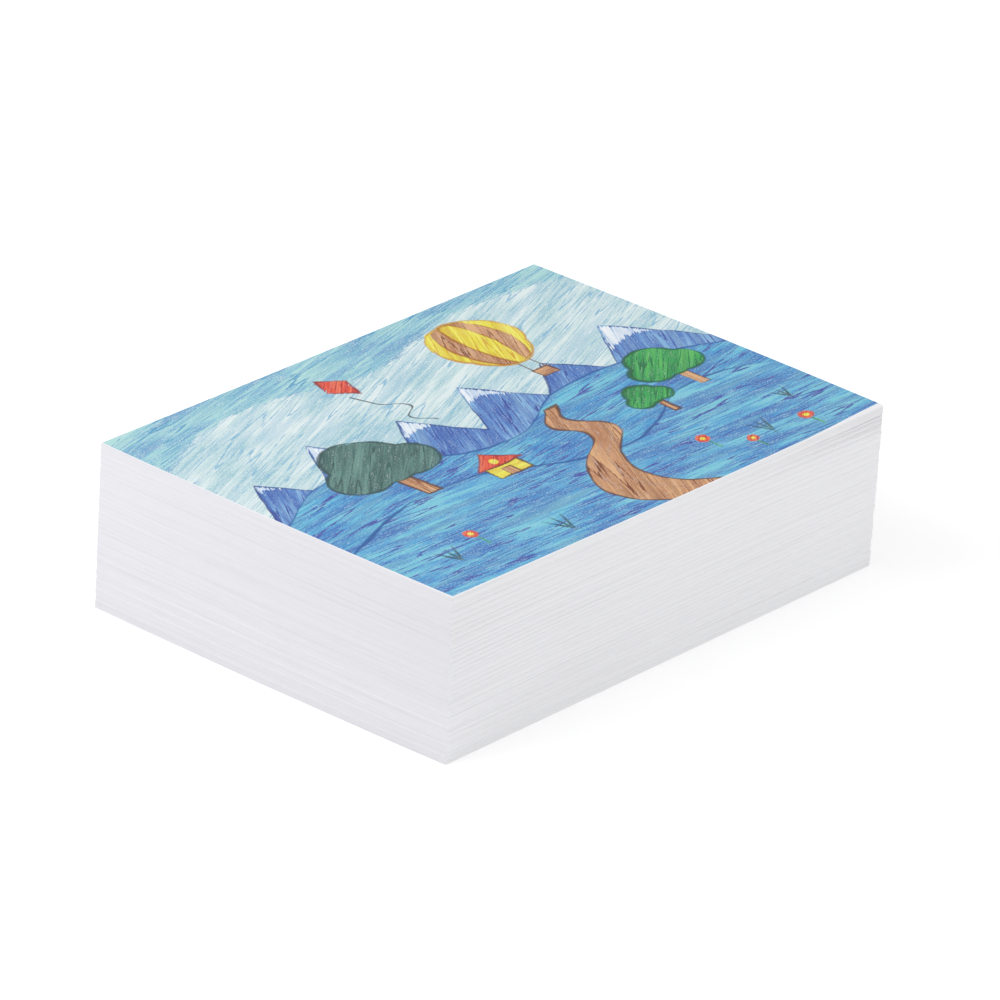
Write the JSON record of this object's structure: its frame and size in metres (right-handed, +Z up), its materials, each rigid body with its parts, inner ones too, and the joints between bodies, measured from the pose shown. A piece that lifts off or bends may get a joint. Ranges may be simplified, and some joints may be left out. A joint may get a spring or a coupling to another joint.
{
  "type": "ream of paper",
  "caption": "Squared-up block of loose white drawing sheets, the top one covered with a coloured drawing.",
  "frame": {"origin": "on the ground in the middle of the block", "axes": "+X along the sheets' long side, +Y along their short side, +Z up through the stack"},
  "size_m": [0.3067, 0.2317, 0.0875],
  "materials": {
    "drawing_paper": "matt white uncoated drawing paper, cut edges",
    "pencil_drawing": "matt drawing paper covered with coloured pencil, white margin"
  },
  "bodies": {
    "root": {"quire_01": "drawing_paper", "quire_02": "drawing_paper", "quire_03": "drawing_paper", "quire_04": "drawing_paper", "quire_05": "drawing_paper", "quire_06": "drawing_paper", "quire_07": "drawing_paper", "quire_08": "drawing_paper", "quire_09": "drawing_paper", "quire_10": "drawing_paper", "quire_11": "drawing_paper", "quire_12": "drawing_paper", "quire_13": "drawing_paper", "quire_14": "drawing_paper", "quire_15": "drawing_paper", "quire_16": "drawing_paper", "quire_17": "drawing_paper", "quire_18": "drawing_paper", "quire_19": "drawing_paper", "quire_20": "drawing_paper", "drawing_sheet": "pencil_drawing"}
  },
  "joints": []
}
